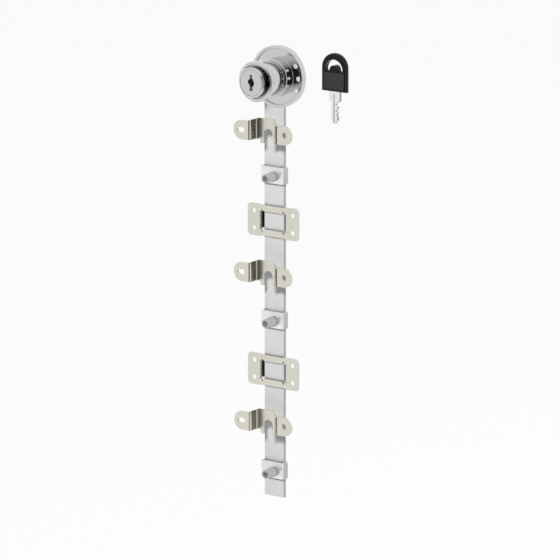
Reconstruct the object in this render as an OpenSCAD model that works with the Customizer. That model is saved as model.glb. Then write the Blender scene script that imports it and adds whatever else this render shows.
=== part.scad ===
// Central drawer lock: a cylinder lock with a crank that lifts a flat locking bar, the bar's two
// guides, three clamped latch studs, the three drawer catches they work on, and the key.
// +Z is up, +X is to the viewer's right and -Y is the front. The origin is on the cylinder's
// axis, at the back face of the round base. Lengths in front of that face are called "front".

/* [Lock head] */
// Width of the base's flange, from the boss to the outer edge
base_flange = 8.1; // [7.8:0.1:10]
// Height of the base's raised rim above the mounting face
rim_h = 4.5; // [4:0.1:6]
// Width of the raised rim
rim_w = 2.1; // [1.5:0.1:2.2]
// Thickness of the base inside its rim
web_t = 3.2; // [2.6:0.1:3.6]
// Diameter of a base screw hole
base_hole_d = 3.4; // [3:0.1:3.6]
// Gap between a base screw hole and the rim
base_hole_gap = 0.2; // [0.1:0.1:0.4]
// Angle between neighbouring screw holes of one side
base_hole_step = 30; // [24:1:34]
// Step from the neck out to the boss
boss_step = 1.3; // [0.8:0.1:1.6]
// How far the boss stands in front of the mounting face
boss_front = 10.8; // [10:0.1:14]
// Thickness of the neck's wall round the barrel
neck_wall = 1.25; // [1.1:0.05:1.8]
// How far the neck reaches in front of the mounting face, up to the rosette
neck_front = 25.7; // [24:0.1:27]
// Number of fine grooves round the neck behind the rosette
neck_grooves = 28; // [16:2:36]
// How far the rosette's edge stands out past the neck
rosette_brim = 2.1; // [1.6:0.1:3]
// Thickness of the rosette
rosette_t = 2.9; // [2.4:0.1:3.6]
// Width of the dark groove round the barrel, in the rosette's face
face_groove_w = 1.2; // [0.8:0.1:1.4]
// Thickness of the rosette's inner lip, behind that groove
face_lip_t = 0.5; // [0.4:0.1:0.8]

/* [Cylinder] */
// Diameter of the cylinder's barrel
barrel_d = 20.6; // [20:0.1:20.8]
// How far the barrel's face stands in front of the rosette's face
barrel_proud = 4.6; // [3:0.1:5]
// Depth of the wall at the barrel's back end, in front of the mounting face
barrel_seat = 6; // [5.8:0.1:7]
// Bevel round the barrel's face
barrel_bevel = 0.9; // [0.4:0.1:1.2]
// Width of the barrel's rim round the turning plug's face
plug_face_rim = 1.5; // [1.4:0.1:2]
// Thickness of the turning plug's face
plug_face_t = 2.2; // [1.8:0.1:2.6]
// Thickness of the barrel's wall round the plug's core
barrel_wall = 3.85; // [3.6:0.05:4]
// Running clearance on the plug's radius
plug_gap = 0.05; // [0.03:0.01:0.09]
// Clearance of the key's blade in the keyway, each way
keyway_gap = 0.2; // [0.1:0.05:0.3]
// Height of the keyhole's flared mouth
mouth_h = 10.8; // [9.5:0.1:11.2]
// Depth of the keyhole's flared mouth
mouth_depth = 3; // [2:0.1:3.5]
// Distance from one wafer tumbler to the next
wafer_pitch = 3; // [2.6:0.1:3.2]
// Thickness of a wafer tumbler
wafer_t = 0.9; // [0.7:0.05:1]
// Width of a wafer tumbler beside its window
wafer_side = 2.55; // [2.2:0.05:2.7]

/* [Crank] */
// Radius of the crank pin's circle
crank_r = 6; // [5.6:0.1:6.2]
// Diameter of the crank pin
pin_d = 4; // [3.6:0.1:4.4]
// Width of the crank's disc outside the middle of its pin
crank_edge = 1.5; // [1:0.1:1.8]
// Thickness of the crank's disc
crank_t = 2.5; // [2:0.1:3]
// Wall of the plug's square tail round the crank screw
tail_wall = 1.25; // [1:0.05:1.4]
// Space between the crank screw's head and the crank pin
screw_pin_space = 0.3; // [0.2:0.1:0.6]
// Diameter of the crank screw's shank
screw_d = 2.9; // [2.5:0.1:3]
// Diameter of the retaining clip
clip_d = 7.4; // [6.6:0.1:8]
// Thickness of the retaining clip
clip_t = 0.6; // [0.5:0.1:0.8]

/* [Bar] */
// Width of the locking bar
bar_w = 16; // [15:0.5:18]
// Thickness of the locking bar
bar_t = 2.4; // [2:0.1:3]
// Height of the bar's bottom end
bar_bottom = -292.5; // [-320:0.5:-285]
// Sideways place of the bar's centre line
bar_x = -5.3; // [-5.5:0.1:-5]
// Running clearance in front of and behind the bar
bar_gap = 0.2; // [0.15:0.05:0.3]
// How far the bar reaches above the crank pin
bar_head = 7; // [5:0.5:9]

/* [Guides] */
// Height of each guide's centre
guide_z = [-100.2, -204.3];
// Distance from a guide's screw holes to its left or right edge
guide_edge = 5.15; // [4.6:0.05:7]
// Height of the strips above and below a guide's tongue
strip_h = 4.9; // [4.4:0.1:6]
// Thickness of the guides' sheet
guide_t = 1.2; // [1:0.1:1.5]
// Distance between the two columns of screw holes
guide_hole_dx = 32; // [31:0.5:34]
// Distance between the two rows of screw holes
guide_hole_dz = 12; // [11:0.5:14]
// Diameter of a guide's screw holes
guide_hole_d = 3.4; // [3:0.1:3.6]
// Height of the tongue behind the bar
tongue_h = 12; // [11:0.1:13.5]
// Space between the bar's edge and the tongue's side
tongue_side_gap = 2.3; // [1:0.1:2.5]
// Corner radius of a guide plate
guide_corner = 2.8; // [1.5:0.1:3.2]
// How far the plate's long edges draw in over the bar
guide_waist = 0.5; // [0:0.1:0.8]

/* [Catches] */
// Height of each catch's slot
catch_z = [-35.6, -133, -236.7];
// Thickness of the catches' sheet
catch_t = 1.2; // [1:0.1:1.5]
// How far the hooked plate stands in front of the mounting face
hook_front = 11.3; // [10.5:0.1:12]
// How far the left ear stands in front of the hooked plate
ear_step = 8; // [6:0.2:10]
// Height of the left ear
ear_h = 13.2; // [12:0.2:14]
// Length of the left ear, from its round end to the riser
ear_len = 13.4; // [13:0.2:16]
// Distance from the left ear's round end to the middle of its slot
ear_slot_x = 6.1; // [5.6:0.1:6.6]
// Length of the left ear's slot
ear_slot_len = 5.8; // [5:0.1:6.4]
// Height of the left ear's slot
ear_slot_h = 3.4; // [3:0.1:4]
// Width of the notch for a latch stud
notch_w = 7.2; // [7:0.1:8.4]
// Width from the notch to the middle of the right fold
fold_gap = 1.6; // [1.4:0.1:2.4]
// Height of the notch's round top above the slot
notch_top = 1; // [0:0.1:2]
// Width of the leg beside the notch
leg_w = 3; // [2.8:0.05:3.6]
// Width between the leg and the riser
leg_gap = 2.9; // [2.4:0.1:3.2]
// How far the leg reaches below the slot
leg_drop = 9.4; // [8.5:0.1:10]
// Height of the hooked plate above the slot
hook_top = 7.9; // [7:0.1:9]
// Radius of the right ear's round end
right_ear_r = 6.6; // [6.4:0.1:7.4]
// Height of the right ear's centre above the slot
right_ear_z = -2.4; // [-3.6:0.1:-2.2]
// Diameter of the right ear's hole
right_hole_d = 4.2; // [3.6:0.1:5]

/* [Clamps and studs] */
// Height of each stud
stud_z = [-68, -167.9, -273.4];
// Height of a clamp
clamp_h = 11.3; // [10.6:0.1:13]
// Thickness of the clamps' sheet
clamp_t = 1.2; // [1:0.1:1.4]
// Room between the bar and a clamp's front plate
clamp_room = 1.4; // [1:0.1:1.8]
// Length of a clamp's lips behind the bar
lip_len = 4; // [3:0.1:5]
// Sideways place of the studs, from the bar's centre line
stud_off = 3.4; // [3:0.1:3.6]
// Diameter of a stud's body at its rear
stud_d = 7; // [6.4:0.1:7]
// How much narrower a stud's tip is than its rear
stud_taper = 1; // [0.4:0.1:1.4]
// How far a stud's tip stands in front of the mounting face
stud_front = 15; // [13:0.5:17]
// Diameter of a stud's neck, between its body and the clamp
stud_neck_d = 5; // [4.6:0.1:5.4]
// Length of a stud's neck
stud_neck_len = 1.5; // [1:0.1:2]
// Length of the smooth band at the rear of a stud's body
band_t = 1.6; // [1:0.1:2.4]
// Number of grooves round a stud's body
knurl_n = 18; // [12:1:24]
// Width across the flats of a stud's hexagon socket
socket_af = 3; // [2.5:0.5:3.5]

/* [Key] */
// Sideways place of the key's centre line
key_x = 46.4; // [40:0.1:60]
// Width of the key's bow
bow_w = 19.8; // [18:0.2:24]
// Height of the bow's top
bow_top = 20.4; // [18:0.2:24]
// Height of the bow's bottom edge
bow_bottom = -5.3; // [-8:0.1:-4]
// Thickness of the bow
bow_t = 4.4; // [3.4:0.1:5]
// Width of the bow's arch round the crescent hole
arch_w = 2.6; // [2.4:0.1:3]
// Radius of the round tongue in the crescent hole
key_tongue_r = 3.2; // [2.8:0.1:3.8]
// Height of the crescent hole's ends
crescent_z = 8.6; // [8:0.1:9]
// Length of the blade below the bow
blade_len = 21.5; // [20:0.1:22]
// Width of the blade
blade_w = 5; // [4.6:0.1:5.6]
// Thickness of the blade
blade_t = 2; // [1.8:0.1:2.1]
// Width of the blade's shoulder
shoulder_w = 8.6; // [8:0.1:10]
// Length of the blade's shoulder
shoulder_len = 6.4; // [5:0.1:7]

/* [Hidden] */
$fn = 64;
eps = 0.01;
fit_gap = 0.05;

chrome = [0.72, 0.72, 0.73];
dark_steel = [0.45, 0.45, 0.46];
cream_zinc = [0.86, 0.85, 0.8];
bright_zinc = [0.84, 0.86, 0.88];
bar_grey = [0.85, 0.85, 0.84];
brass = [0.78, 0.64, 0.36];
black_plastic = [0.08, 0.08, 0.08];
nickel = [0.85, 0.85, 0.84];

neck_d = barrel_d + 2 * (fit_gap + neck_wall);
boss_d = neck_d + 2 * boss_step;
base_d = boss_d + 2 * base_flange;
base_hole_r = base_d / 2 - rim_w - base_hole_gap - base_hole_d / 2;
rosette_d = neck_d + 2 * rosette_brim;
plug_face_d = barrel_d - 2 * plug_face_rim;
plug_d = barrel_d - 2 * (barrel_wall + plug_gap);
slot_clear = 0.1;
keyway_h = blade_w + 2 * keyway_gap;
keyway_w = blade_t + 2 * keyway_gap;
window_w = keyway_w + 0.5;
window_h = keyway_h + 0.6;
wafer_w = window_w + 2 * wafer_side;
rosette_front = neck_front + rosette_t;
barrel_front = rosette_front + barrel_proud;
neck_in_rosette = 0.8;
face_groove_depth = rosette_t - neck_in_rosette - face_lip_t;
crank_front = barrel_seat - 0.25;
crank_back = crank_front - crank_t;
cavity_d = 2 * crank_r + pin_d + 1.2;
tumbler_n = 5;
tumbler_first = barrel_front - 5;
screw_head_t = 1.9;
screw_depth = 3.5;
screw_head_d = 2 * (crank_r - pin_d / 2 - screw_pin_space);
tail_w = screw_d + 2 * tail_wall;
crank_disc_d = 2 * (crank_r + crank_edge);

// The crank turns a quarter, from a quarter below the level to a quarter above it
crank_rest = 225;
pin_x = crank_r * cos(crank_rest);
pin_z = crank_r * sin(crank_rest);
pin_slack = 0.3;
pin_back = bar_gap * 2 + bar_t + clip_t + 1.1;
clip_seat = bar_gap + bar_t + 0.3;
clip_groove_r = pin_d / 2 - 0.45;

bar_front = bar_gap;
bar_back = bar_front + bar_t;
bar_top = pin_z + bar_head;

guide_w = guide_hole_dx + 2 * guide_edge;
guide_h = tongue_h + 0.4 + 2 * strip_h;
tongue_half = bar_w / 2 + tongue_side_gap;
tongue_front = bar_back + bar_gap;
relief_r = 1;

stud_x = bar_x + stud_off;
notch_left = stud_x - notch_w / 2;
notch_right = stud_x + notch_w / 2;
leg_left = notch_left - leg_w;
riser_x = leg_left - leg_gap;
fold_x = notch_right + fold_gap;
ear_left = riser_x - ear_len;
right_ear_x = fold_x + right_ear_r + 0.1;
sheet_bend = 0.9;

clamp_half = bar_w / 2 + 0.2 + clamp_t;
clamp_front = clamp_room + clamp_t - bar_gap;
stud_boss_t = 0.7;
stud_boss_d = stud_neck_d + 0.8;
stud_root = clamp_front + stud_boss_t;
stud_shank_d = 4;
band_back = stud_root + stud_neck_len + 0.6;
band_front = band_back + band_t;
knurl_r = 0.28;
clinch_r = 1.1;

key_back = 0;
bow_edge = 1.5;
tang_len = 8;
crescent_r = bow_w / 2 - arch_w;

// Extrudes an outline drawn in X and Z, between two depths along Y
module along_y(y0, y1)
    translate([0, y1, 0])
        rotate([90, 0, 0])
            linear_extrude(height = y1 - y0)
                children();

// Turns a profile drawn as radius and distance in front of the mounting face
module turned()
    rotate([90, 0, 0])
        rotate_extrude()
            children();

// Rectangle from one corner to the other
module box2d(x0, y0, x1, y1)
    translate([x0, y0])
        square([x1 - x0, y1 - y0]);

// The waste between a square corner at the origin and a round one of radius r
module corner_waste(r)
    difference() {
        translate([-eps, -eps])
            square(r + eps);
        translate([r, r])
            circle(r);
    }

// The same waste at a point, turned so that the material lies towards dir_x and dir_y
module corner_at(x, y, dir_x, dir_y, r)
    translate([x, y])
        mirror([dir_x < 0 ? 1 : 0, 0])
            mirror([0, dir_y < 0 ? 1 : 0])
                corner_waste(r);

// Rectangle whose two front corners are rounded, for turned profiles
module front_rounded(x0, y0, x1, y1, r, inner = true)
    difference() {
        box2d(x0, y0, x1, y1);
        corner_at(x1, y1, -1, -1, r);
        if (inner)
            corner_at(x0, y1, 1, -1, r);
    }

// The six base screw holes' places: three on each side
module at_base_holes()
    for (side = [0, 180], step = [-1 : 1])
        rotate([0, side + step * base_hole_step, 0])
            translate([base_hole_r, 0, 0])
                children();

// Base, boss and neck of the die-cast housing
module lock_housing()
    color(chrome)
        difference() {
            turned()
                difference() {
                    union() {
                        box2d(0, 0, base_d / 2 - rim_w / 2, web_t);
                        front_rounded(base_d / 2 - rim_w, 0, base_d / 2, rim_h, 0.5);
                        front_rounded(0, 0, boss_d / 2, boss_front, 0.7, false);
                        box2d(0, 0, neck_d / 2, neck_front + neck_in_rosette);
                        corner_at(boss_d / 2, web_t, 1, 1, 0.3);
                    }
                    box2d(-1, barrel_seat, barrel_d / 2 + fit_gap, neck_front + 2);
                    box2d(-1, -1, cavity_d / 2, barrel_seat + eps);
                }
            at_base_holes()
                along_y(-rim_h - 1, 1)
                    circle(d = base_hole_d);
            for (i = [0 : neck_grooves - 1])
                rotate([0, i * 360 / neck_grooves, 0])
                    translate([neck_d / 2 + 0.15, 0, 0])
                        along_y(-neck_front, -neck_front + 3.2)
                            circle(r = 0.5, $fn = 24);
        }

// Cover ring that sits over the neck's end and hides the panel's hole
module rosette()
    color(chrome)
        turned()
            difference() {
                front_rounded(0, neck_front, rosette_d / 2, rosette_front, 0.8, false);
                box2d(-1, 0, barrel_d / 2 + fit_gap, rosette_front + 1);
                box2d(-1, 0, neck_d / 2 + fit_gap, neck_front + neck_in_rosette);
                box2d(0, rosette_front - face_groove_depth,
                    barrel_d / 2 + fit_gap + face_groove_w, rosette_front + 1);
            }

// Fixed barrel of the cylinder, with a bevelled face and broached grooves for the wafers
module barrel()
    color(chrome)
        difference() {
            turned()
                difference() {
                    polygon([
                        [0, barrel_seat],
                        [barrel_d / 2, barrel_seat],
                        [barrel_d / 2, barrel_front - barrel_bevel],
                        [barrel_d / 2 - barrel_bevel, barrel_front],
                        [0, barrel_front]
                    ]);
                    box2d(-1, 0, plug_d / 2 + plug_gap, barrel_front + 1);
                    box2d(-1, barrel_front - plug_face_t, plug_face_d / 2 + 0.1, barrel_front + 1);
                }
            for (turn = [0, 90])
                rotate([0, turn, 0])
                    along_y(-tumbler_first - 1.5, -barrel_seat - 4)
                        box2d(-wafer_w / 2 - 0.2, -plug_d / 2 - 1.1, wafer_w / 2 + 0.2, plug_d / 2 + 1.1);
        }

// Outline of the keyhole's flared mouth: narrow ends, a wide middle and a side lobe
module keyhole_mouth() {
    half = mouth_h / 2;
    polygon([
        [-0.95, half],
        [-0.95, half - 1.8],
        [-0.4, 1.2],
        [-0.45, -1.4],
        [-1.1, 2 - half],
        [-1.1, -half],
        [1.35, -half],
        [1.2, 2.2 - half],
        [2.5, -0.8],
        [2.5, 0.6],
        [1, half - 2],
        [0.95, half]
    ]);
    for (z = [-0.3, 1.5])
        translate([-1.75, z])
            circle(r = 0.65, $fn = 24);
    box2d(-2.4, -0.3, -1.1, 1.5);
}

// Turning plug: face, slotted core, square tail and keyway
module key_plug()
    color(chrome)
        difference() {
            union() {
                turned() {
                    box2d(0, crank_front, plug_d / 2, barrel_front - plug_face_t + 0.2);
                    front_rounded(0, barrel_front - plug_face_t + 0.1, plug_face_d / 2,
                        barrel_front, 0.2, false);
                }
                along_y(-crank_front - eps, -crank_back - 0.15)
                    square(tail_w, center = true);
            }
            along_y(-barrel_front - 1, -barrel_front + mouth_depth)
                keyhole_mouth();
            along_y(-barrel_front - 1, -barrel_front + blade_len + 1)
                square([keyway_w, keyway_h], center = true);
            for (i = [0 : tumbler_n - 1])
                translate([0, -tumbler_first + i * wafer_pitch, 0])
                    along_y(-wafer_t / 2 - slot_clear, wafer_t / 2 + slot_clear)
                        square([wafer_w + 0.2, plug_d + 2], center = true);
            along_y(-crank_front - screw_depth, 0)
                circle(d = screw_d + 0.1);
        }

// One wafer tumbler, lifted level with the plug, with its window for the key
module wafer(i)
    color(brass)
        translate([0, -tumbler_first + i * wafer_pitch, 0])
            along_y(-wafer_t / 2, wafer_t / 2)
                difference() {
                    intersection() {
                        circle(r = plug_d / 2 - 0.1);
                        square([wafer_w, plug_d], center = true);
                    }
                    translate([0, 0.3 * (i % 3) - 0.3])
                        square([window_w, window_h], center = true);
                }

// Crank on the plug's tail, with the pin that lifts the bar
module crank()
    color(dark_steel)
        difference() {
            union() {
                along_y(-crank_front, -crank_back)
                    circle(d = crank_disc_d);
                translate([pin_x, 0, pin_z])
                    along_y(-crank_back - eps, pin_back)
                        circle(d = pin_d);
            }
            along_y(-crank_front - 1, -crank_back + 1)
                square(tail_w + 0.1, center = true);
            translate([pin_x, 0, pin_z])
                along_y(clip_seat, clip_seat + clip_t + 0.1)
                    difference() {
                        circle(d = pin_d + 1);
                        circle(r = clip_groove_r);
                    }
        }

// Screw that holds the crank on the plug
module crank_screw()
    color(bright_zinc)
        difference() {
            union() {
                along_y(-crank_back, -crank_back + screw_head_t)
                    circle(d = screw_head_d);
                along_y(-crank_front - screw_depth + 0.3, -crank_back + eps)
                    circle(d = screw_d);
            }
            along_y(-crank_back + screw_head_t - 1, 1)
                for (turn = [0, 90])
                    rotate(turn)
                        square([3, 0.7], center = true);
        }

// Open ring that keeps the bar on the crank pin
module crank_clip()
    color(dark_steel)
        translate([pin_x, 0, pin_z])
            along_y(clip_seat + fit_gap, clip_seat + clip_t + fit_gap)
                difference() {
                    circle(d = clip_d);
                    circle(r = clip_groove_r + fit_gap);
                    translate([-clip_groove_r * 0.8, 0])
                        square([clip_groove_r * 1.6, clip_d]);
                }

// Flat locking bar with the crosswise slot that the crank pin works in
module lock_bar()
    color(bar_grey)
        along_y(bar_front, bar_back)
            difference() {
                box2d(bar_x - bar_w / 2, bar_bottom, bar_x + bar_w / 2, bar_top);
                for (side = [-1, 1])
                    corner_at(bar_x + side * bar_w / 2, bar_top, -side, -1, 3);
                for (x = [pin_x + 0.15, -crank_r - 0.15])
                    translate([x, pin_z])
                        circle(r = pin_d / 2 + pin_slack);
                box2d(-crank_r - 0.15, pin_z - pin_d / 2 - pin_slack,
                    pin_x + 0.15, pin_z + pin_d / 2 + pin_slack);
            }

// Front outline of a guide plate, drawn in a little over the bar
module guide_outline() {
    half_w = guide_w / 2;
    half_h = guide_h / 2;
    waist = bar_w / 2;
    difference() {
        polygon([
            for (side = [1, -1])
                each [
                    [side * half_w, side * half_h],
                    [side * (waist + 3), side * half_h],
                    [side * waist, side * (half_h - guide_waist)],
                    [-side * waist, side * (half_h - guide_waist)],
                    [-side * (waist + 3), side * half_h],
                    [-side * half_w, side * half_h]
                ]
        ]);
        for (sx = [-1, 1], sz = [-1, 1])
            corner_at(sx * half_w, sz * half_h, -sx, -sz, guide_corner);
    }
}

// Section across the tongue: two risers and the strip that passes behind the bar
module tongue_section() {
    outer = tongue_half + guide_t;
    back = tongue_front + guide_t;
    difference() {
        union() {
            box2d(-outer - 1, -guide_t, outer + 1, 0);
            box2d(-outer, -guide_t, outer, back);
            for (side = [-1, 1])
                corner_at(side * outer, 0, side, 1, sheet_bend);
        }
        difference() {
            box2d(-tongue_half, -guide_t - 1, tongue_half, tongue_front);
            for (side = [-1, 1])
                corner_at(side * tongue_half, tongue_front, -side, -1, sheet_bend);
        }
        for (side = [-1, 1]) {
            corner_at(side * outer, back, -side, -1, sheet_bend + 0.6);
            corner_at(side * tongue_half, -guide_t, side, 1, sheet_bend);
        }
    }
}

// Guide: strips in front of the bar, and a tongue pressed back behind it
module guide(i)
    color(cream_zinc)
        translate([bar_x, 0, guide_z[i]])
            difference() {
                union() {
                    along_y(-guide_t, 0)
                        difference() {
                            guide_outline();
                            square([2 * (tongue_half + guide_t), tongue_h + 0.4], center = true);
                        }
                    translate([0, 0, -tongue_h / 2])
                        linear_extrude(height = tongue_h)
                            tongue_section();
                }
                for (sx = [-1, 1], sz = [-1, 1]) {
                    translate([sx * guide_hole_dx / 2, 0, sz * guide_hole_dz / 2])
                        along_y(-guide_t - 1, 1)
                            circle(d = guide_hole_d);
                    translate([sx * (tongue_half - 1.7), 0, sz * (tongue_h / 2 + 0.9)])
                        along_y(-guide_t - 1, 1)
                            circle(r = relief_r, $fn = 32);
                }
            }

// Section of a catch: left ear, riser, hooked plate and the right ear's small joggle
module catch_section() {
    ear_y = -hook_front - ear_step;
    hook_y = -hook_front;
    fold_y = hook_y + catch_t;
    difference() {
        union() {
            box2d(ear_left - 1, ear_y, riser_x, ear_y + catch_t);
            box2d(riser_x - catch_t, ear_y, riser_x, hook_y + catch_t);
            box2d(riser_x - catch_t, hook_y, fold_x + 0.6, hook_y + catch_t);
            box2d(fold_x - 0.6, hook_y, fold_x + 0.6, fold_y + catch_t);
            box2d(fold_x - 0.6, fold_y, right_ear_x + right_ear_r + 1, fold_y + catch_t);
            corner_at(riser_x, hook_y, 1, -1, sheet_bend);
            corner_at(riser_x - catch_t, ear_y + catch_t, -1, 1, sheet_bend);
        }
        corner_at(riser_x, ear_y, -1, 1, sheet_bend + 0.7);
        corner_at(riser_x - catch_t, hook_y + catch_t, 1, -1, sheet_bend + 0.7);
        corner_at(fold_x + 0.6, hook_y, -1, 1, 0.6);
        corner_at(fold_x - 0.6, fold_y + catch_t, 1, -1, 0.6);
    }
}

// Front outline of a catch, about the height of its slot
module catch_outline()
    difference() {
        union() {
            translate([ear_left + ear_h / 2, 0])
                circle(d = ear_h);
            box2d(ear_left + ear_h / 2, -ear_h / 2, leg_left + 1, ear_h / 2);
            polygon([
                [riser_x - catch_t - 1, 0],
                [leg_left + 1, 0],
                [leg_left + 1, hook_top],
                [riser_x + 1.4, hook_top],
                [riser_x - catch_t, ear_h / 2 + 0.1],
                [riser_x - catch_t - 1, ear_h / 2 - 0.1]
            ]);
            difference() {
                box2d(leg_left, notch_top - notch_w / 2, fold_x + 0.6, hook_top);
                corner_at(fold_x + 0.6, hook_top, -1, -1, 2.6);
            }
            box2d(leg_left, leg_w / 2 - leg_drop, leg_left + leg_w, 0);
            translate([leg_left + leg_w / 2, leg_w / 2 - leg_drop])
                circle(d = leg_w);
            box2d(notch_right, right_ear_z - right_ear_r, right_ear_x, 0);
            box2d(fold_x - 0.6, right_ear_z, right_ear_x, right_ear_z + right_ear_r);
            translate([right_ear_x, right_ear_z])
                circle(r = right_ear_r);
        }
        box2d(notch_left, -20, notch_right, notch_top - notch_w / 2);
        translate([stud_x, notch_top - notch_w / 2])
            circle(d = notch_w);
        translate([fold_x + 0.8, right_ear_z + right_ear_r])
            circle(r = 0.9, $fn = 32);
        for (side = [-1, 1])
            translate([ear_left + ear_slot_x + side * (ear_slot_len - ear_slot_h) / 2, 0])
                circle(d = ear_slot_h, $fn = 48);
        translate([ear_left + ear_slot_x, 0])
            square([ear_slot_len - ear_slot_h, ear_slot_h], center = true);
        translate([right_ear_x, right_ear_z])
            circle(d = right_hole_d);
    }

// Drawer catch: folded from one sheet, with the notch that a latch stud enters from below
module catch(i)
    color(cream_zinc)
        translate([0, 0, catch_z[i]])
            intersection() {
                translate([0, 0, -20])
                    linear_extrude(height = 40)
                        catch_section();
                along_y(-hook_front - ear_step - 1, 0)
                    catch_outline();
            }

// Section of a clamp round the bar: front plate, sides and back lips
module clamp_section()
    difference() {
        box2d(-clamp_half, -clamp_front, clamp_half, bar_back + clamp_t);
        box2d(clamp_t - clamp_half, clamp_t - clamp_front, clamp_half - clamp_t, bar_back);
        box2d(clamp_t + lip_len - clamp_half, 0, clamp_half - clamp_t - lip_len, bar_back + 5);
        for (side = [-1, 1]) {
            corner_at(side * clamp_half, -clamp_front, -side, 1, clamp_t);
            corner_at(side * clamp_half, bar_back + clamp_t, -side, -1, clamp_t);
        }
    }

// Clamp that carries a stud on the bar
module clamp(i)
    color(bright_zinc)
        translate([0, 0, stud_z[i]])
            difference() {
                union() {
                    translate([bar_x, 0, -clamp_h / 2])
                        linear_extrude(height = clamp_h)
                            clamp_section();
                    translate([stud_x, 0, 0])
                        along_y(-stud_root, -clamp_front + eps)
                            circle(d = stud_boss_d);
                }
                translate([stud_x, 0, 0])
                    along_y(-stud_root - 1, 0)
                        circle(d = stud_shank_d + 2 * fit_gap);
                translate([stud_x + 3.8, 0, 2])
                    along_y(-clamp_front - 1, -clamp_front + 0.3)
                        difference() {
                            circle(r = clinch_r, $fn = 32);
                            circle(r = clinch_r - 0.5, $fn = 32);
                        }
            }

// Latch stud: tapered and knurled body with a hexagon socket, screwed through its clamp onto the bar
module stud(i)
    color([0.6, 0.6, 0.61])
        translate([stud_x, 0, stud_z[i]])
            difference() {
                union() {
                    turned()
                        polygon([
                            [0, stud_root],
                            [stud_neck_d / 2, stud_root],
                            [stud_neck_d / 2, stud_root + stud_neck_len],
                            [stud_d / 2, band_back],
                            [stud_d / 2, band_front],
                            [(stud_d - stud_taper) / 2, stud_front - 0.5],
                            [(stud_d - stud_taper) / 2 - 0.5, stud_front],
                            [0, stud_front]
                        ]);
                    along_y(-stud_root - eps, bar_front)
                        circle(d = stud_shank_d);
                }
                along_y(-stud_front - 1, -stud_front + 2.2)
                    circle(d = socket_af / cos(30), $fn = 6);
                for (k = [0 : knurl_n - 1])
                    rotate([0, k * 360 / knurl_n, 0])
                        translate([stud_d / 2 + 0.06, -band_front - 0.3, 0])
                            rotate([0, 0, -atan(stud_taper / 2 / (stud_front - band_front))])
                                along_y(-stud_front, 0)
                                    circle(r = knurl_r, $fn = 16);
            }

// Rectangle whose right corners are rounded, for the bow's sections
module edge_section(x0, x1, y0, y1, r)
    difference() {
        box2d(x0, y0, x1, y1);
        corner_at(x1, y0, -1, 1, r);
        corner_at(x1, y1, -1, -1, r);
    }

// Solid bow with rounded edges: a round head on straight sides, and a bottom edge
module bow_body() {
    r = bow_w / 2;
    centre = bow_top - r;
    intersection() {
        union() {
            translate([0, 0, centre])
                turned()
                    edge_section(0, r, 0, bow_t, bow_edge);
            translate([0, 0, bow_bottom])
                linear_extrude(height = centre - bow_bottom)
                    intersection() {
                        edge_section(-r, r, -bow_t, 0, bow_edge);
                        mirror([1, 0])
                            edge_section(-r, r, -bow_t, 0, bow_edge);
                    }
        }
        translate([-r, 0, 0])
            rotate([90, 0, 90])
                linear_extrude(height = 2 * r)
                    difference() {
                        box2d(-bow_t, bow_bottom, 0, bow_top);
                        corner_at(-bow_t, bow_bottom, 1, 1, bow_edge);
                        corner_at(0, bow_bottom, -1, 1, bow_edge);
                    }
    }
}

// Tang of the blade inside the bow
module tang_outline()
    box2d(-shoulder_w / 2 + 0.6, bow_bottom - 1, shoulder_w / 2 - 0.6, bow_bottom + tang_len);

// Moulded bow: rounded edges, crescent hole and a sunk face below it
module key_bow()
    color(black_plastic)
        translate([key_x, key_back, 0])
            difference() {
                bow_body();
                along_y(-bow_t - 1, 1)
                    difference() {
                        translate([0, crescent_z + 0.4])
                            circle(r = crescent_r);
                        translate([0, crescent_z + 0.6])
                            circle(r = key_tongue_r);
                        box2d(-key_tongue_r, crescent_z - 1, key_tongue_r, crescent_z + 0.6);
                        box2d(-bow_w, bow_bottom, bow_w, crescent_z);
                    }
                for (face = [-bow_t - 1, -0.4])
                    along_y(face, face + 1.4)
                        box2d(-bow_w / 2 + bow_edge, bow_bottom + bow_edge,
                            bow_w / 2 - bow_edge, crescent_z - 1);
                along_y(-(bow_t + blade_t) / 2, (blade_t - bow_t) / 2)
                    tang_outline();
            }

// Outline of the blade: shoulder with a small notch, cuts along one edge and a pointed tip
module blade_outline() {
    half = blade_w / 2;
    shoulder_end = bow_bottom - shoulder_len;
    tip = bow_bottom - blade_len;
    difference() {
        union() {
            box2d(-shoulder_w / 2, shoulder_end, shoulder_w / 2, bow_bottom);
            polygon([
                [-half, shoulder_end + 1],
                [-half, tip + 2.2],
                [-0.3, tip],
                [0.6, tip],
                [half, tip + 2.4],
                [half, shoulder_end + 1]
            ]);
            intersection() {
                tang_outline();
                box2d(-shoulder_w, bow_bottom - eps, shoulder_w, bow_top);
            }
        }
        translate([-shoulder_w / 2, bow_bottom - shoulder_len + 1.8])
            circle(r = 0.8, $fn = 32);
        for (cut = [[2.3, 1.5], [6.4, 1.1], [9.4, 0.7]])
            translate([half, shoulder_end - cut[0]])
                polygon([[0.5, 1.6], [-cut[1], 0.4], [-cut[1], -0.4], [0.5, -1.6]]);
    }
}

// Key blade with a groove along each side
module key_blade()
    color(nickel)
        translate([key_x, key_back - bow_t / 2, 0])
            difference() {
                along_y(-blade_t / 2, blade_t / 2)
                    blade_outline();
                for (side = [-1, 1])
                    translate([-0.5, side * (blade_t / 2) - 0.35, bow_bottom - blade_len - 1])
                        cube([1.1, 0.7, blade_len - 1]);
            }

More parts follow.
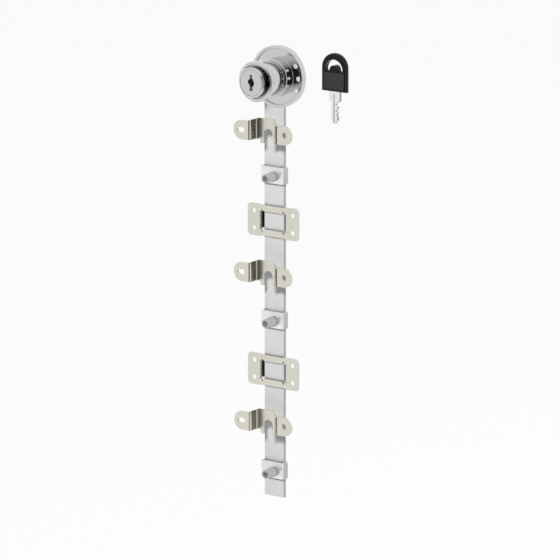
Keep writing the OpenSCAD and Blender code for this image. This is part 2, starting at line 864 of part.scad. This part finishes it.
lock_housing();
rosette();
barrel();
key_plug();
wafer(0);  // wafer_1
wafer(1);  // wafer_2
wafer(2);  // wafer_3
wafer(3);  // wafer_4
wafer(4);  // wafer_5
crank();
crank_screw();
crank_clip();
lock_bar();
guide(0);  // guide_1
guide(1);  // guide_2
catch(0);  // catch_1
catch(1);  // catch_2
catch(2);  // catch_3
clamp(0);  // clamp_1
clamp(1);  // clamp_2
clamp(2);  // clamp_3
stud(0);  // stud_1
stud(1);  // stud_2
stud(2);  // stud_3
key_bow();
key_blade();
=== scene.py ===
"""Looks of a central drawer lock: finishes for the lock, bar, guides, catches, clamps, studs and
key, and the stage, lights and camera. Laid out as a Blender add-on and run as a script."""

from math import cos, radians, sin

import bpy
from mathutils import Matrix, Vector


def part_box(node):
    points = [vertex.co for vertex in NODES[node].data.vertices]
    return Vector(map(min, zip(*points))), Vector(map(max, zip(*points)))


bl_info = {
    "name": "Central Drawer Lock Looks",
    "version": (1, 0, 0),
    "blender": (4, 5, 0),
    "location": "View3D > Sidebar > Drawer Lock",
    "description": "Finishes, stage, lights and camera for a central drawer lock",
    "category": "Object",
}

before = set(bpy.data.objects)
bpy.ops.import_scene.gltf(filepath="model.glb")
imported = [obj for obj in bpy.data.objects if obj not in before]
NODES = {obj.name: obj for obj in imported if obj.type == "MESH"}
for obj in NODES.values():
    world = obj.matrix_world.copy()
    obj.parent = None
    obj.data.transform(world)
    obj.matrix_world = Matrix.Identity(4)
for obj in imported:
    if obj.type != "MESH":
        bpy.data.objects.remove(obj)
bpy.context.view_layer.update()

# Metres in a millimetre
MM = 0.001

# Front and back of the smooth band round each stud, which is painted darker as shade
STUD_BAND = (-6.8 * MM, -4.5 * MM)
# Right of this, the sheets' cut edges are matt
CUT_EDGE_X = 14 * MM
# How far in from the bow's faces its sunk faces begin and end, and how soft their rim is
SUNK_FROM, SUNK_TO, SUNK_SOFT = 0.3 * MM, 0.5 * MM, 0.06 * MM
# Range that holds most of a noise's values
NOISE_RANGE = (0.3, 0.7)
# How many rays look for near geometry in hollows and at edges
HOLLOW_SAMPLES, EDGE_SAMPLES = 16, 6
# Direction out of the bar's front and down, to the clamps, in which near parts give the painted
# shade above them
FRONT_BELOW = (0, -0.707, -0.707)

# Place that the camera looks at, the width of its sensor in millimetres, and how far it sees
CAMERA_AIM = (-0.00033, 0.0, -0.140014)
SENSOR_WIDTH = 36.0
CAMERA_REACH = 50.0
# Half the floor's side, and how much of its own white the floor shows to the camera
FLOOR_HALF = 6.0
FLOOR_GLOW = 0.95
# Strength of the world's light on the object
WORLD_LEVEL = 0.07
# Name, place, side and power of each light, and the place that all of them face
LIGHTS = (
    ("key_light", (0.94, -1.73, 1.08), 0.35, 66.0),
    ("fill_light", (-1.9, -0.3, 0.5), 1.6, 4.0),
    ("back_light", (0.6, 1.9, 0.9), 1.6, 36.0),
)
LIGHT_AIM = (0.0, 0.0, -0.12)
# Nodes that the key light shines through, so that they throw no shadow on the bar
LIT_THROUGH = ("lock_housing", "rosette", "barrel", "key_plug", "stud_1", "stud_2", "stud_3")
# Each dark flag's distance from the upright line through the lock, bearing from +X, half its
# width, where its darkness begins and ends in height, how soft its edge is, and how bright it is
FLAGS = (
    (0.6, radians(-66), radians(26), -0.38, 0.40, 0.15, 0.02),
    (0.6, radians(-54), radians(9), -0.62, -0.22, 0.03, 0.05),
)
# Flat faces that each flag's arc is made of
FLAG_COLUMNS = 24


def shade(colour, factor):
    """The colour made lighter or darker."""
    return tuple(min(1.0, channel * factor) for channel in colour[:3])


# Node trees

class Finish:
    """A material under construction, with short calls for the nodes that finishes share."""

    def __init__(self, name, colour):
        self.material = bpy.data.materials.new(name)
        self.material.use_nodes = True
        self.material.diffuse_color = (*colour, 1)
        self.tree = self.material.node_tree
        self.shader = self.tree.nodes["Principled BSDF"]
        self.shader.inputs["Base Color"].default_value = (*colour, 1)
        self.coords = self.node("ShaderNodeTexCoord").outputs

    def node(self, kind, **settings):
        made = self.tree.nodes.new(kind)
        for name, value in settings.items():
            setattr(made, name, value)
        return made

    def feed(self, socket, value):
        """Links an output to a socket, or sets the socket to a plain value."""
        if isinstance(value, bpy.types.NodeSocket):
            self.tree.links.new(value, socket)
        else:
            socket.default_value = value

    def set(self, **values):
        """Sets or links the shader's sockets."""
        for name, value in values.items():
            self.feed(self.shader.inputs[name.replace("_", " ")], value)

    # Patterns, places and directions

    def noise(self, scale, stretch=(1, 1, 1), detail=3.0, roughness=0.55):
        """Noise on the object, finer along the axes that are stretched more."""
        mapping = self.node("ShaderNodeMapping")
        mapping.inputs["Scale"].default_value = stretch
        self.feed(mapping.inputs["Vector"], self.coords["Object"])
        made = self.node("ShaderNodeTexNoise")
        made.inputs["Scale"].default_value = scale
        made.inputs["Detail"].default_value = detail
        made.inputs["Roughness"].default_value = roughness
        self.feed(made.inputs["Vector"], mapping.outputs["Vector"])
        return made.outputs["Fac"]

    def part(self, vector, axis):
        """One part of a vector, X, Y or Z."""
        made = self.node("ShaderNodeSeparateXYZ")
        self.feed(made.inputs["Vector"], vector)
        return made.outputs[axis]

    def place(self, axis):
        """One of the object coordinates, X, Y or Z."""
        return self.part(self.coords["Object"], axis)

    def facing(self, axis, low=0.75, high=0.95, sign=0):
        """1 on faces square to an axis and 0 on slanted ones: both ways, or the sign's way."""
        normal = self.part(self.coords["Normal"], axis)
        along = self.math("MULTIPLY", normal, sign) if sign else self.math("ABSOLUTE", normal)
        return self.mapped(along, low, high)

    def hollow(self, reach, low, high, towards=None):
        """1 in narrow hollows and 0 on open faces, from how much near geometry closes them in on
        all sides or towards one."""
        made = self.node("ShaderNodeAmbientOcclusion", samples=HOLLOW_SAMPLES)
        made.inputs["Distance"].default_value = reach
        if towards:
            side = self.node("ShaderNodeCombineXYZ")
            for socket, value in zip(side.inputs, towards):
                socket.default_value = value
            self.feed(made.inputs["Normal"], side.outputs["Vector"])
        return self.mapped(made.outputs["AO"], low, high, 1.0, 0.0)

    # Arithmetic

    def math(self, operation, *values):
        """Arithmetic on outputs or plain numbers."""
        made = self.node("ShaderNodeMath", operation=operation)
        for socket, value in zip(made.inputs, values):
            self.feed(socket, value)
        return made.outputs["Value"]

    def mapped(self, value, low, high, start=0.0, end=1.0, curve="SMOOTHSTEP"):
        """Goes from start to end as the value goes from low to high."""
        made = self.node("ShaderNodeMapRange", interpolation_type=curve)
        for name, number in (("From Min", low), ("From Max", high), ("To Min", start),
                             ("To Max", end)):
            made.inputs[name].default_value = number
        self.feed(made.inputs["Value"], value)
        return made.outputs["Result"]

    def between(self, factor, start, end):
        """Goes evenly from start to end as the factor goes from 0 to 1."""
        return self.mapped(factor, 0.0, 1.0, start, end, curve="LINEAR")

    def within(self, value, low, high, soft):
        """1 where the value lies between low and high, falling to 0 over a soft margin."""
        rise = self.mapped(value, low - soft, low + soft)
        fall = self.mapped(value, high + soft, high - soft)
        return self.math("MULTIPLY", rise, fall)

    # Colour and gloss

    def mixed(self, factor, first, second):
        """Colour that goes from the first to the second as the factor goes from 0 to 1."""
        made = self.node("ShaderNodeMix", data_type="RGBA")
        self.feed(made.inputs[0], factor)
        for socket, colour in ((made.inputs[6], first), (made.inputs[7], second)):
            linked = isinstance(colour, bpy.types.NodeSocket)
            self.feed(socket, colour if linked else (*colour, 1))
        return made.outputs[2]

    def varied(self, noise, low, high):
        """Colour that goes from low to high over a noise's range."""
        made = self.node("ShaderNodeValToRGB")
        for element, place, colour in zip(made.color_ramp.elements, NOISE_RANGE, (low, high)):
            element.position = place
            element.color = (*colour, 1)
        self.feed(made.inputs["Fac"], noise)
        return made.outputs["Color"]

    def painted_hollow_shade(self, colour, amount, reach, dark, high=0.8):
        """Sets the colour, with painted shade that darkens it in narrow hollows."""
        factor = self.math("MULTIPLY", self.hollow(reach, 0.2, high), amount)
        self.set(Base_Color=self.mixed(factor, colour, dark))

    def paint_side_shade(self, colour, amount):
        """Paints shade on the faces that look sideways, darkening them on top of what the colour
        already is.
        """
        usual = self.shader.inputs["Base Color"].links[0].from_socket
        sides = self.math("MULTIPLY", self.facing("X", 0.5, 0.9), amount)
        self.set(Base_Color=self.mixed(sides, usual, shade(colour, 0.2)))
        return self

    def roughness_from(self, noise, low, high):
        """Sets the roughness, from low to high over a noise's range."""
        self.set(Roughness=self.mapped(noise, *NOISE_RANGE, low, high, curve="LINEAR"))

    def surface(self, height, depth, strength, edge):
        """Fine relief of a depth, over edges rounded by a small radius."""
        rounding = self.node("ShaderNodeBevel", samples=EDGE_SAMPLES)
        rounding.inputs["Radius"].default_value = edge
        bump = self.node("ShaderNodeBump")
        bump.inputs["Distance"].default_value = depth
        bump.inputs["Strength"].default_value = strength
        self.feed(bump.inputs["Height"], height)
        self.feed(bump.inputs["Normal"], rounding.outputs["Normal"])
        self.set(Normal=bump.outputs["Normal"])

    # Shaders for the stage

    def glow(self, level):
        """Light of one brightness, whatever falls on the surface."""
        made = self.node("ShaderNodeEmission")
        made.inputs["Color"].default_value = (level, level, level, 1)
        return made.outputs["Emission"]

    def blend(self, factor, first, second):
        """Gives the surface a blend of two shaders, the first at 0 and the second at 1."""
        made = self.node("ShaderNodeMixShader")
        for socket, value in zip(made.inputs, (factor, first, second)):
            self.feed(socket, value)
        end = self.tree.nodes["Material Output"]
        self.feed(end.inputs["Surface"], made.outputs["Shader"])


def seen_plainly(tree):
    """1 for the camera, in reflections and through glass, and 0 for light on other surfaces."""
    path = tree.nodes.new("ShaderNodeLightPath").outputs
    seen = path["Is Camera Ray"]
    for ray in ("Is Glossy Ray", "Is Transmission Ray"):
        either = tree.nodes.new("ShaderNodeMath")
        either.operation = "MAXIMUM"
        tree.links.new(seen, either.inputs[0])
        tree.links.new(path[ray], either.inputs[1])
        seen = either.outputs["Value"]
    return seen


# Finishes

def polished_chrome(name, colour, roughness, turned):
    """Bright chrome plate with a faint polishing haze, and painted shade in its narrow hollows."""
    finish = Finish(name, colour)
    finish.set(Metallic=1.0, Anisotropic=turned)
    haze = finish.noise(300, detail=2.0)
    tone = finish.varied(haze, shade(colour, 0.985), shade(colour, 1.015))
    # Painted shade: the colour goes near black in the keyway, grooves and other narrow hollows
    finish.painted_hollow_shade(tone, 0.6, reach=2.2 * MM, dark=(0.012, 0.012, 0.012), high=0.7)
    finish.roughness_from(haze, roughness * 0.9, roughness * 1.15)
    polish = finish.noise(260, detail=1.0)
    finish.surface(polish, depth=0.01 * MM, strength=0.03, edge=0.16 * MM)
    if turned:
        tangent = finish.node("ShaderNodeTangent", direction_type="RADIAL", axis="Y")
        finish.set(Tangent=tangent.outputs["Tangent"])
    return finish


# The dark colour sets the painted shade in the sheet's corners and hollows
def plated_sheet(name, colour, roughness, metal=1.0, edge=0.2 * MM, dark=(0.02, 0.02, 0.014),
                 painted_hollow_shade=0.75, matt_from=None):
    """Zinc-plated pressed sheet: soft even gloss, rounded cut edges, and painted shade in its
    corners.
    """
    finish = Finish(name, colour)
    finish.set(Metallic=metal)
    cloud = finish.noise(90)
    tone = finish.varied(cloud, shade(colour, 0.965), shade(colour, 1.02))
    # Painted shade: the colour darkens in corners and narrow hollows
    finish.painted_hollow_shade(tone, painted_hollow_shade, reach=3 * MM, dark=dark)
    finish.roughness_from(finish.noise(500), roughness * 0.9, roughness * 1.12)
    finish.surface(finish.noise(900), depth=0.01 * MM, strength=0.12, edge=edge)
    if matt_from is not None:
        beyond = finish.math("GREATER_THAN", finish.place("X"), matt_from)
        cut = finish.math("MULTIPLY", beyond, finish.facing("X", 0.4, 0.8))
        finish.set(Metallic=finish.between(cut, metal, 0.2),
                   Roughness=finish.between(cut, roughness, 0.6))
    return finish


def knurled_steel(name, colour, band):
    """Turned and knurled steel: end face and smooth rear band painted darker as shade, and painted
    shade in the hollows.
    """
    finish = Finish(name, colour)
    finish.set(Metallic=0.5)
    haze = finish.noise(900, detail=2.0)
    body = finish.varied(haze, shade(colour, 0.93), shade(colour, 1.05))
    # Painted shade: the smooth band at the rear is painted darker, as a painted shadow
    smooth = finish.within(finish.place("Y"), *band, soft=0.2 * MM)
    banded = finish.mixed(finish.math("MULTIPLY", smooth, 0.55), body, shade(colour, 0.4))
    # Painted shade: the end face that looks forward is painted darker
    end = finish.math("MULTIPLY", finish.facing("Y", 0.9, 0.98, sign=-1), 0.6)
    faced = finish.mixed(end, banded, shade(colour, 0.3))
    # Painted shade: darker still in the socket and other narrow hollows
    finish.painted_hollow_shade(faced, 0.6, reach=2 * MM, dark=shade(colour, 0.3))
    finish.roughness_from(haze, 0.26, 0.36)
    finish.surface(finish.noise(1500), depth=0.01 * MM, strength=0.15, edge=0.12 * MM)
    return finish


def drawn_aluminium(name, colour, roughness, metal):
    """Drawn bar stock with faint stripes along its length, and painted shade on its front just
    above what is clamped to it.
    """
    finish = Finish(name, colour)
    finish.set(Metallic=metal)
    lines = finish.noise(60, stretch=(26, 26, 0.12), detail=5.0, roughness=0.7)
    tone = finish.varied(lines, shade(colour, 0.97), shade(colour, 1.015))
    # Painted shade: the front goes near black just above the clamps and other near parts that
    # close it in from below
    closed_below = finish.hollow(4 * MM, 0.3, 0.8, towards=FRONT_BELOW)
    front = finish.facing("Y", sign=-1)
    painted_shade_above = finish.math("MULTIPLY", finish.math("MULTIPLY", closed_below, front), 0.62)
    finish.set(Base_Color=finish.mixed(painted_shade_above, tone, (0.08, 0.08, 0.08)))
    finish.roughness_from(lines, roughness * 0.9, roughness * 1.15)
    finish.surface(lines, depth=0.02 * MM, strength=0.15, edge=0.2 * MM)
    return finish


def moulded_plastic(name, colour, face_colour, box):
    """Fine-grained black moulding: satin on its sunk faces, glossy round them, with the sunk faces
    painted lighter as a painted sheen.
    """
    finish = Finish(name, colour)
    low, high = box
    grain = finish.noise(2400)
    depth = finish.place("Y")
    front = finish.within(depth, low.y + SUNK_FROM, low.y + SUNK_TO, SUNK_SOFT)
    back = finish.within(depth, high.y - SUNK_TO, high.y - SUNK_FROM, SUNK_SOFT)
    sunk = finish.math("MAXIMUM", front, back)
    speckled = finish.node("ShaderNodeVectorMath", operation="SCALE")
    # Painted sheen: the sunk faces take the lighter face colour, for the light their flat satin
    # faces catch
    finish.feed(speckled.inputs[0], finish.mixed(sunk, colour, face_colour))
    finish.feed(speckled.inputs["Scale"], finish.math("MULTIPLY_ADD", grain, 0.3, 0.85))
    finish.set(Base_Color=speckled.outputs["Vector"], Specular_IOR_Level=0.18,
               Roughness=finish.between(sunk, 0.22, 0.5))
    finish.surface(grain, depth=0.03 * MM, strength=0.35, edge=0.3 * MM)
    return finish


def dress(finish, *names):
    """Gives CAD nodes a finish in every slot."""
    for name in names:
        mesh = NODES[name].data
        for slot in range(len(mesh.materials)):
            mesh.materials[slot] = finish.material
        if not mesh.materials:
            mesh.materials.append(finish.material)


def numbered(name, count):
    """The names of like nodes, counted from 1."""
    return [f"{name}_{number}" for number in range(1, count + 1)]


# Settings

def colour_setting(name, description, default):
    return bpy.props.FloatVectorProperty(
        name=name, description=description, subtype="COLOR", size=3, min=0, max=1, default=default)


def factor_setting(name, description, default):
    return bpy.props.FloatProperty(
        name=name, description=description, subtype="FACTOR", min=0, max=1, default=default)


def length_setting(name, description, default):
    return bpy.props.FloatProperty(
        name=name, description=description, subtype="DISTANCE", unit="LENGTH", default=default)


def angle_setting(name, description, degrees):
    return bpy.props.FloatProperty(
        name=name, description=description, subtype="ANGLE", default=radians(degrees))


class LockSettings(bpy.types.PropertyGroup):
    """Colours and gloss of the cylinder lock."""

    chrome: colour_setting("Chrome", "Colour of the plated lock", (0.60, 0.60, 0.60))
    chrome_roughness: factor_setting("Chrome Roughness", "Roughness of the plated lock", 0.08)
    turned: factor_setting("Turned Finish", "How much turning marks stretch the highlights", 0.3)
    brass: colour_setting("Brass", "Colour of the wafer tumblers", (0.72, 0.52, 0.24))
    steel: colour_setting("Crank Steel", "Colour of the crank and its clip", (0.38, 0.38, 0.39))


class BarSettings(bpy.types.PropertyGroup):
    """Colours and gloss of the bar and what is clamped to it."""

    bar: colour_setting("Bar", "Colour of the locking bar", (0.53, 0.53, 0.53))
    bar_roughness: factor_setting("Bar Roughness", "Roughness of the locking bar", 0.36)
    bar_metal: factor_setting("Bar Metal", "How mirror-like the locking bar's metal is", 0.06)
    clamp: colour_setting("Clamps", "Colour of the bright zinc clamps", (0.66, 0.66, 0.66))
    clamp_roughness: factor_setting("Clamp Roughness", "Roughness of the clamps", 0.42)
    clamp_metal: factor_setting("Clamp Metal", "How mirror-like the clamps' zinc is", 0.2)
    stud: colour_setting("Studs", "Colour of the latch studs", (0.46, 0.46, 0.46))


class SheetSettings(bpy.types.PropertyGroup):
    """Colour and gloss of the guides and catches."""

    sheet: colour_setting("Sheet", "Colour of the guides and catches", (0.70, 0.685, 0.605))
    sheet_roughness: factor_setting("Sheet Roughness", "Roughness of the plated sheet", 0.27)


class KeySettings(bpy.types.PropertyGroup):
    """Colours of the key."""

    bow: colour_setting("Bow", "Colour of the moulded bow", (0.004, 0.004, 0.004))
    # The sunk faces' lighter colour is a painted sheen
    bow_face: colour_setting("Bow Face", "Colour of the bow's sunk faces", (0.027, 0.027, 0.027))
    blade: colour_setting("Blade", "Colour of the nickel blade", (0.84, 0.835, 0.81))


class StageSettings(bpy.types.PropertyGroup):
    """Floor and camera."""

    floor_height: length_setting("Floor Height", "Height of the floor", -0.7)
    floor: colour_setting("Floor", "Colour of the floor and background", (0.8, 0.8, 0.8))
    azimuth: angle_setting("Azimuth", "Camera's turn to the right", 36)
    elevation: angle_setting("Elevation", "Camera's height angle", 13)
    lens: bpy.props.FloatProperty(
        name="Lens", description="Focal length on a 36 mm sensor", subtype="DISTANCE_CAMERA",
        default=257.14)
    distance: length_setting("Distance", "Camera's distance from the object", 2.7036)


# Operators

class Make:
    """What every operator here shares."""

    bl_options = {"REGISTER", "UNDO"}


class DRAWERLOCK_OT_lock(Make, bpy.types.Operator):
    """Finishes the housing, rosette, barrel, plug, wafers and crank"""

    bl_idname = "drawer_lock.lock"
    bl_label = "Cylinder Lock"

    def execute(self, context):
        settings = context.scene.drawer_lock_lock
        for name, nodes in (("Lock Chrome", ("lock_housing", "rosette", "barrel")),
                            ("Plug Chrome", ("key_plug",))):
            chrome = polished_chrome(name, settings.chrome, settings.chrome_roughness,
                                     settings.turned)
            dress(chrome, *nodes)
        dress(plated_sheet("Wafer Brass", settings.brass, 0.3, edge=0.1 * MM),
              *numbered("wafer", 5))
        dress(plated_sheet("Crank Steel", settings.steel, 0.35), "crank", "crank_clip")
        dress(plated_sheet("Screw Zinc", context.scene.drawer_lock_bar.clamp, 0.25), "crank_screw")
        return {"FINISHED"}


class DRAWERLOCK_OT_bar(Make, bpy.types.Operator):
    """Finishes the locking bar, its clamps and its studs"""

    bl_idname = "drawer_lock.bar"
    bl_label = "Bar, Clamps and Studs"

    def execute(self, context):
        settings = context.scene.drawer_lock_bar
        aluminium = drawn_aluminium("Bar Aluminium", settings.bar, settings.bar_roughness,
                                    settings.bar_metal)
        # Painted shade: the bar's side faces are painted darker
        dress(aluminium.paint_side_shade(settings.bar, 0.4), "lock_bar")
        # Painted shade: the clamps go grey in their hollows and darker on their side faces
        zinc = plated_sheet("Clamp Zinc", settings.clamp, settings.clamp_roughness,
                            settings.clamp_metal, dark=(0.2, 0.2, 0.2))
        dress(zinc.paint_side_shade(settings.clamp, 0.4), *numbered("clamp", 3))
        dress(knurled_steel("Stud Steel", settings.stud, STUD_BAND), *numbered("stud", 3))
        return {"FINISHED"}


class DRAWERLOCK_OT_sheet(Make, bpy.types.Operator):
    """Finishes the guides and the drawer catches"""

    bl_idname = "drawer_lock.sheet"
    bl_label = "Guides and Catches"

    def execute(self, context):
        settings = context.scene.drawer_lock_sheet
        zinc = plated_sheet("Cream Zinc", settings.sheet, settings.sheet_roughness,
                            matt_from=CUT_EDGE_X)
        dress(zinc, *numbered("guide", 2), *numbered("catch", 3))
        return {"FINISHED"}


class DRAWERLOCK_OT_key(Make, bpy.types.Operator):
    """Finishes the key's bow and blade"""

    bl_idname = "drawer_lock.key"
    bl_label = "Key"

    def execute(self, context):
        settings = context.scene.drawer_lock_key
        dress(moulded_plastic("Bow Plastic", settings.bow, settings.bow_face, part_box("key_bow")),
              "key_bow")
        # Painted shade: the blade darkens in its hollows and on its side faces
        nickel = plated_sheet("Blade Nickel", settings.blade, 0.22, edge=0.12 * MM, painted_hollow_shade=0.45)
        dress(nickel.paint_side_shade(settings.blade, 0.75), "key_blade")
        return {"FINISHED"}


class DRAWERLOCK_OT_stage(Make, bpy.types.Operator):
    """Makes the floor, the world, the flags, the lights and the camera"""

    bl_idname = "drawer_lock.stage"
    bl_label = "Stage"

    def execute(self, context):
        settings = context.scene.drawer_lock_stage
        self.make_floor(settings)
        self.make_world(context.scene)
        for number, flag in enumerate(FLAGS, 1):
            self.make_flag(number, *flag)
        self.make_lights()
        self.make_camera(context.scene, settings)
        context.scene.view_settings.view_transform = "Standard"
        return {"FINISHED"}

    def add(self, name, data):
        """Adds an object to the scene, made of a mesh, light or camera."""
        made = bpy.data.objects.new(name, data)
        bpy.context.scene.collection.objects.link(made)
        return made

    def make_mesh(self, name, points, faces, finish):
        """Adds a mesh of one finish to the scene."""
        mesh = bpy.data.meshes.new(name)
        mesh.from_pydata(points, [], faces)
        mesh.materials.append(finish.material)
        return self.add(name, mesh)

    def make_floor(self, settings):
        """A pale floor that takes shadows, and shows nearly white to the camera."""
        finish = Finish("Pale Floor", settings.floor)
        finish.set(Roughness=0.9)
        white = finish.math("MULTIPLY", seen_plainly(finish.tree), FLOOR_GLOW)
        finish.blend(white, finish.shader.outputs["BSDF"], finish.glow(1.0))
        half, z = FLOOR_HALF, settings.floor_height
        corners = [(-half, -half, z), (half, -half, z), (half, half, z), (-half, half, z)]
        floor = self.make_mesh("floor", corners, [(0, 1, 2, 3)], finish)

    def make_world(self, scene):
        """White for the camera, reflections and glass, and a plain level of light for the rest."""
        world = bpy.data.worlds.new("Studio")
        scene.world = world
        world.use_nodes = True
        nodes, links = world.node_tree.nodes, world.node_tree.links
        light = nodes["Background"]
        light.inputs["Color"].default_value = (1, 1, 1, 1)
        light.inputs["Strength"].default_value = WORLD_LEVEL
        white = nodes.new("ShaderNodeBackground")
        white.inputs["Color"].default_value = (1, 1, 1, 1)
        mix = nodes.new("ShaderNodeMixShader")
        links.new(seen_plainly(world.node_tree), mix.inputs["Fac"])
        links.new(light.outputs["Background"], mix.inputs[1])
        links.new(white.outputs["Background"], mix.inputs[2])
        links.new(mix.outputs["Shader"], nodes["World Output"].inputs["Surface"])

    def make_flag(self, number, distance, bearing, half_width, low, high, soft, level):
        """A dark studio flag, an arc round the lock with faded edges that only gloss shows."""
        margin = soft / distance
        reach = half_width + 3 * margin
        points = []
        for column in range(FLAG_COLUMNS + 1):
            turn = bearing - reach + 2 * reach * column / FLAG_COLUMNS
            points += [(distance * cos(turn), distance * sin(turn), z)
                       for z in (low - 2 * soft, high + 2 * soft)]
        faces = [(2 * n, 2 * n + 2, 2 * n + 3, 2 * n + 1) for n in range(FLAG_COLUMNS)]

        finish = Finish(f"Flag {number}", (0.0, 0.0, 0.0))
        height = finish.within(finish.place("Z"), low, high, soft)
        along = finish.node("ShaderNodeVectorMath", operation="DOT_PRODUCT")
        along.inputs[1].default_value = (cos(bearing), sin(bearing), 0)
        finish.feed(along.inputs[0], finish.coords["Object"])
        width = finish.mapped(along.outputs["Value"], distance * cos(half_width + margin),
                              distance * cos(max(0.0, half_width - margin)))
        clear = finish.node("ShaderNodeBsdfTransparent").outputs["BSDF"]
        finish.blend(finish.math("MULTIPLY", height, width), clear, finish.glow(level))

        flag = self.make_mesh(f"flag_{number}", points, faces, finish)
        flag.visible_camera = False
        flag.visible_diffuse = False
        flag.visible_shadow = False
        flag.visible_transmission = False

    def make_lights(self):
        """Soft lights, of which the first passes through some nodes."""
        lit_through = bpy.data.collections.new("lit_through")
        for name in LIT_THROUGH:
            lit_through.objects.link(NODES[name])
        for entry in lit_through.collection_objects:
            entry.light_linking.link_state = "EXCLUDE"
        for name, place, size, power in LIGHTS:
            data = bpy.data.lights.new(name, "AREA")
            data.size = size
            data.energy = power
            light = self.add(name, data)
            light.visible_glossy = False
            light.location = place
            aim = Vector(LIGHT_AIM) - Vector(place)
            light.rotation_euler = aim.to_track_quat("-Z", "Y").to_euler()
            if name == "key_light":
                light.light_linking.blocker_collection = lit_through

    def make_camera(self, scene, settings):
        data = bpy.data.cameras.new("camera")
        data.sensor_width = SENSOR_WIDTH
        data.lens = settings.lens
        data.clip_end = CAMERA_REACH
        camera = self.add("camera", data)
        azimuth, elevation = settings.azimuth, settings.elevation
        back = Vector((sin(azimuth) * cos(elevation), -cos(azimuth) * cos(elevation),
                       sin(elevation)))
        camera.location = Vector(CAMERA_AIM) + back * settings.distance
        camera.rotation_euler = (-back).to_track_quat("-Z", "Y").to_euler()
        scene.camera = camera


class DRAWERLOCK_PT_panel(bpy.types.Panel):
    """Lists the lock's operators and settings"""

    bl_label = "Drawer Lock"
    bl_idname = "DRAWERLOCK_PT_panel"
    bl_space_type = "VIEW_3D"
    bl_region_type = "UI"
    bl_category = "Drawer Lock"

    def draw(self, context):
        for operator, group in STEPS:
            box = self.layout.box()
            settings = getattr(context.scene, group)
            for name in settings.__annotations__:
                box.prop(settings, name)
            box.operator(operator.bl_idname)


GROUPS = {
    "drawer_lock_lock": LockSettings,
    "drawer_lock_bar": BarSettings,
    "drawer_lock_sheet": SheetSettings,
    "drawer_lock_key": KeySettings,
    "drawer_lock_stage": StageSettings,
}
# Each operator, in the order that main runs them, with the group of settings that it reads
STEPS = (
    (DRAWERLOCK_OT_stage, "drawer_lock_stage"),
    (DRAWERLOCK_OT_lock, "drawer_lock_lock"),
    (DRAWERLOCK_OT_bar, "drawer_lock_bar"),
    (DRAWERLOCK_OT_sheet, "drawer_lock_sheet"),
    (DRAWERLOCK_OT_key, "drawer_lock_key"),
)


def register():
    for group_name, group in GROUPS.items():
        bpy.utils.register_class(group)
        setattr(bpy.types.Scene, group_name, bpy.props.PointerProperty(type=group))
    for operator, _ in STEPS:
        bpy.utils.register_class(operator)
    bpy.utils.register_class(DRAWERLOCK_PT_panel)


def unregister():
    bpy.utils.unregister_class(DRAWERLOCK_PT_panel)
    for operator, _ in reversed(STEPS):
        bpy.utils.unregister_class(operator)
    for group_name, group in reversed(GROUPS.items()):
        delattr(bpy.types.Scene, group_name)
        bpy.utils.unregister_class(group)


def main():
    register()
    for operator, _ in STEPS:
        family, name = operator.bl_idname.split(".")
        getattr(getattr(bpy.ops, family), name)()


if __name__ == "__main__":
    main()
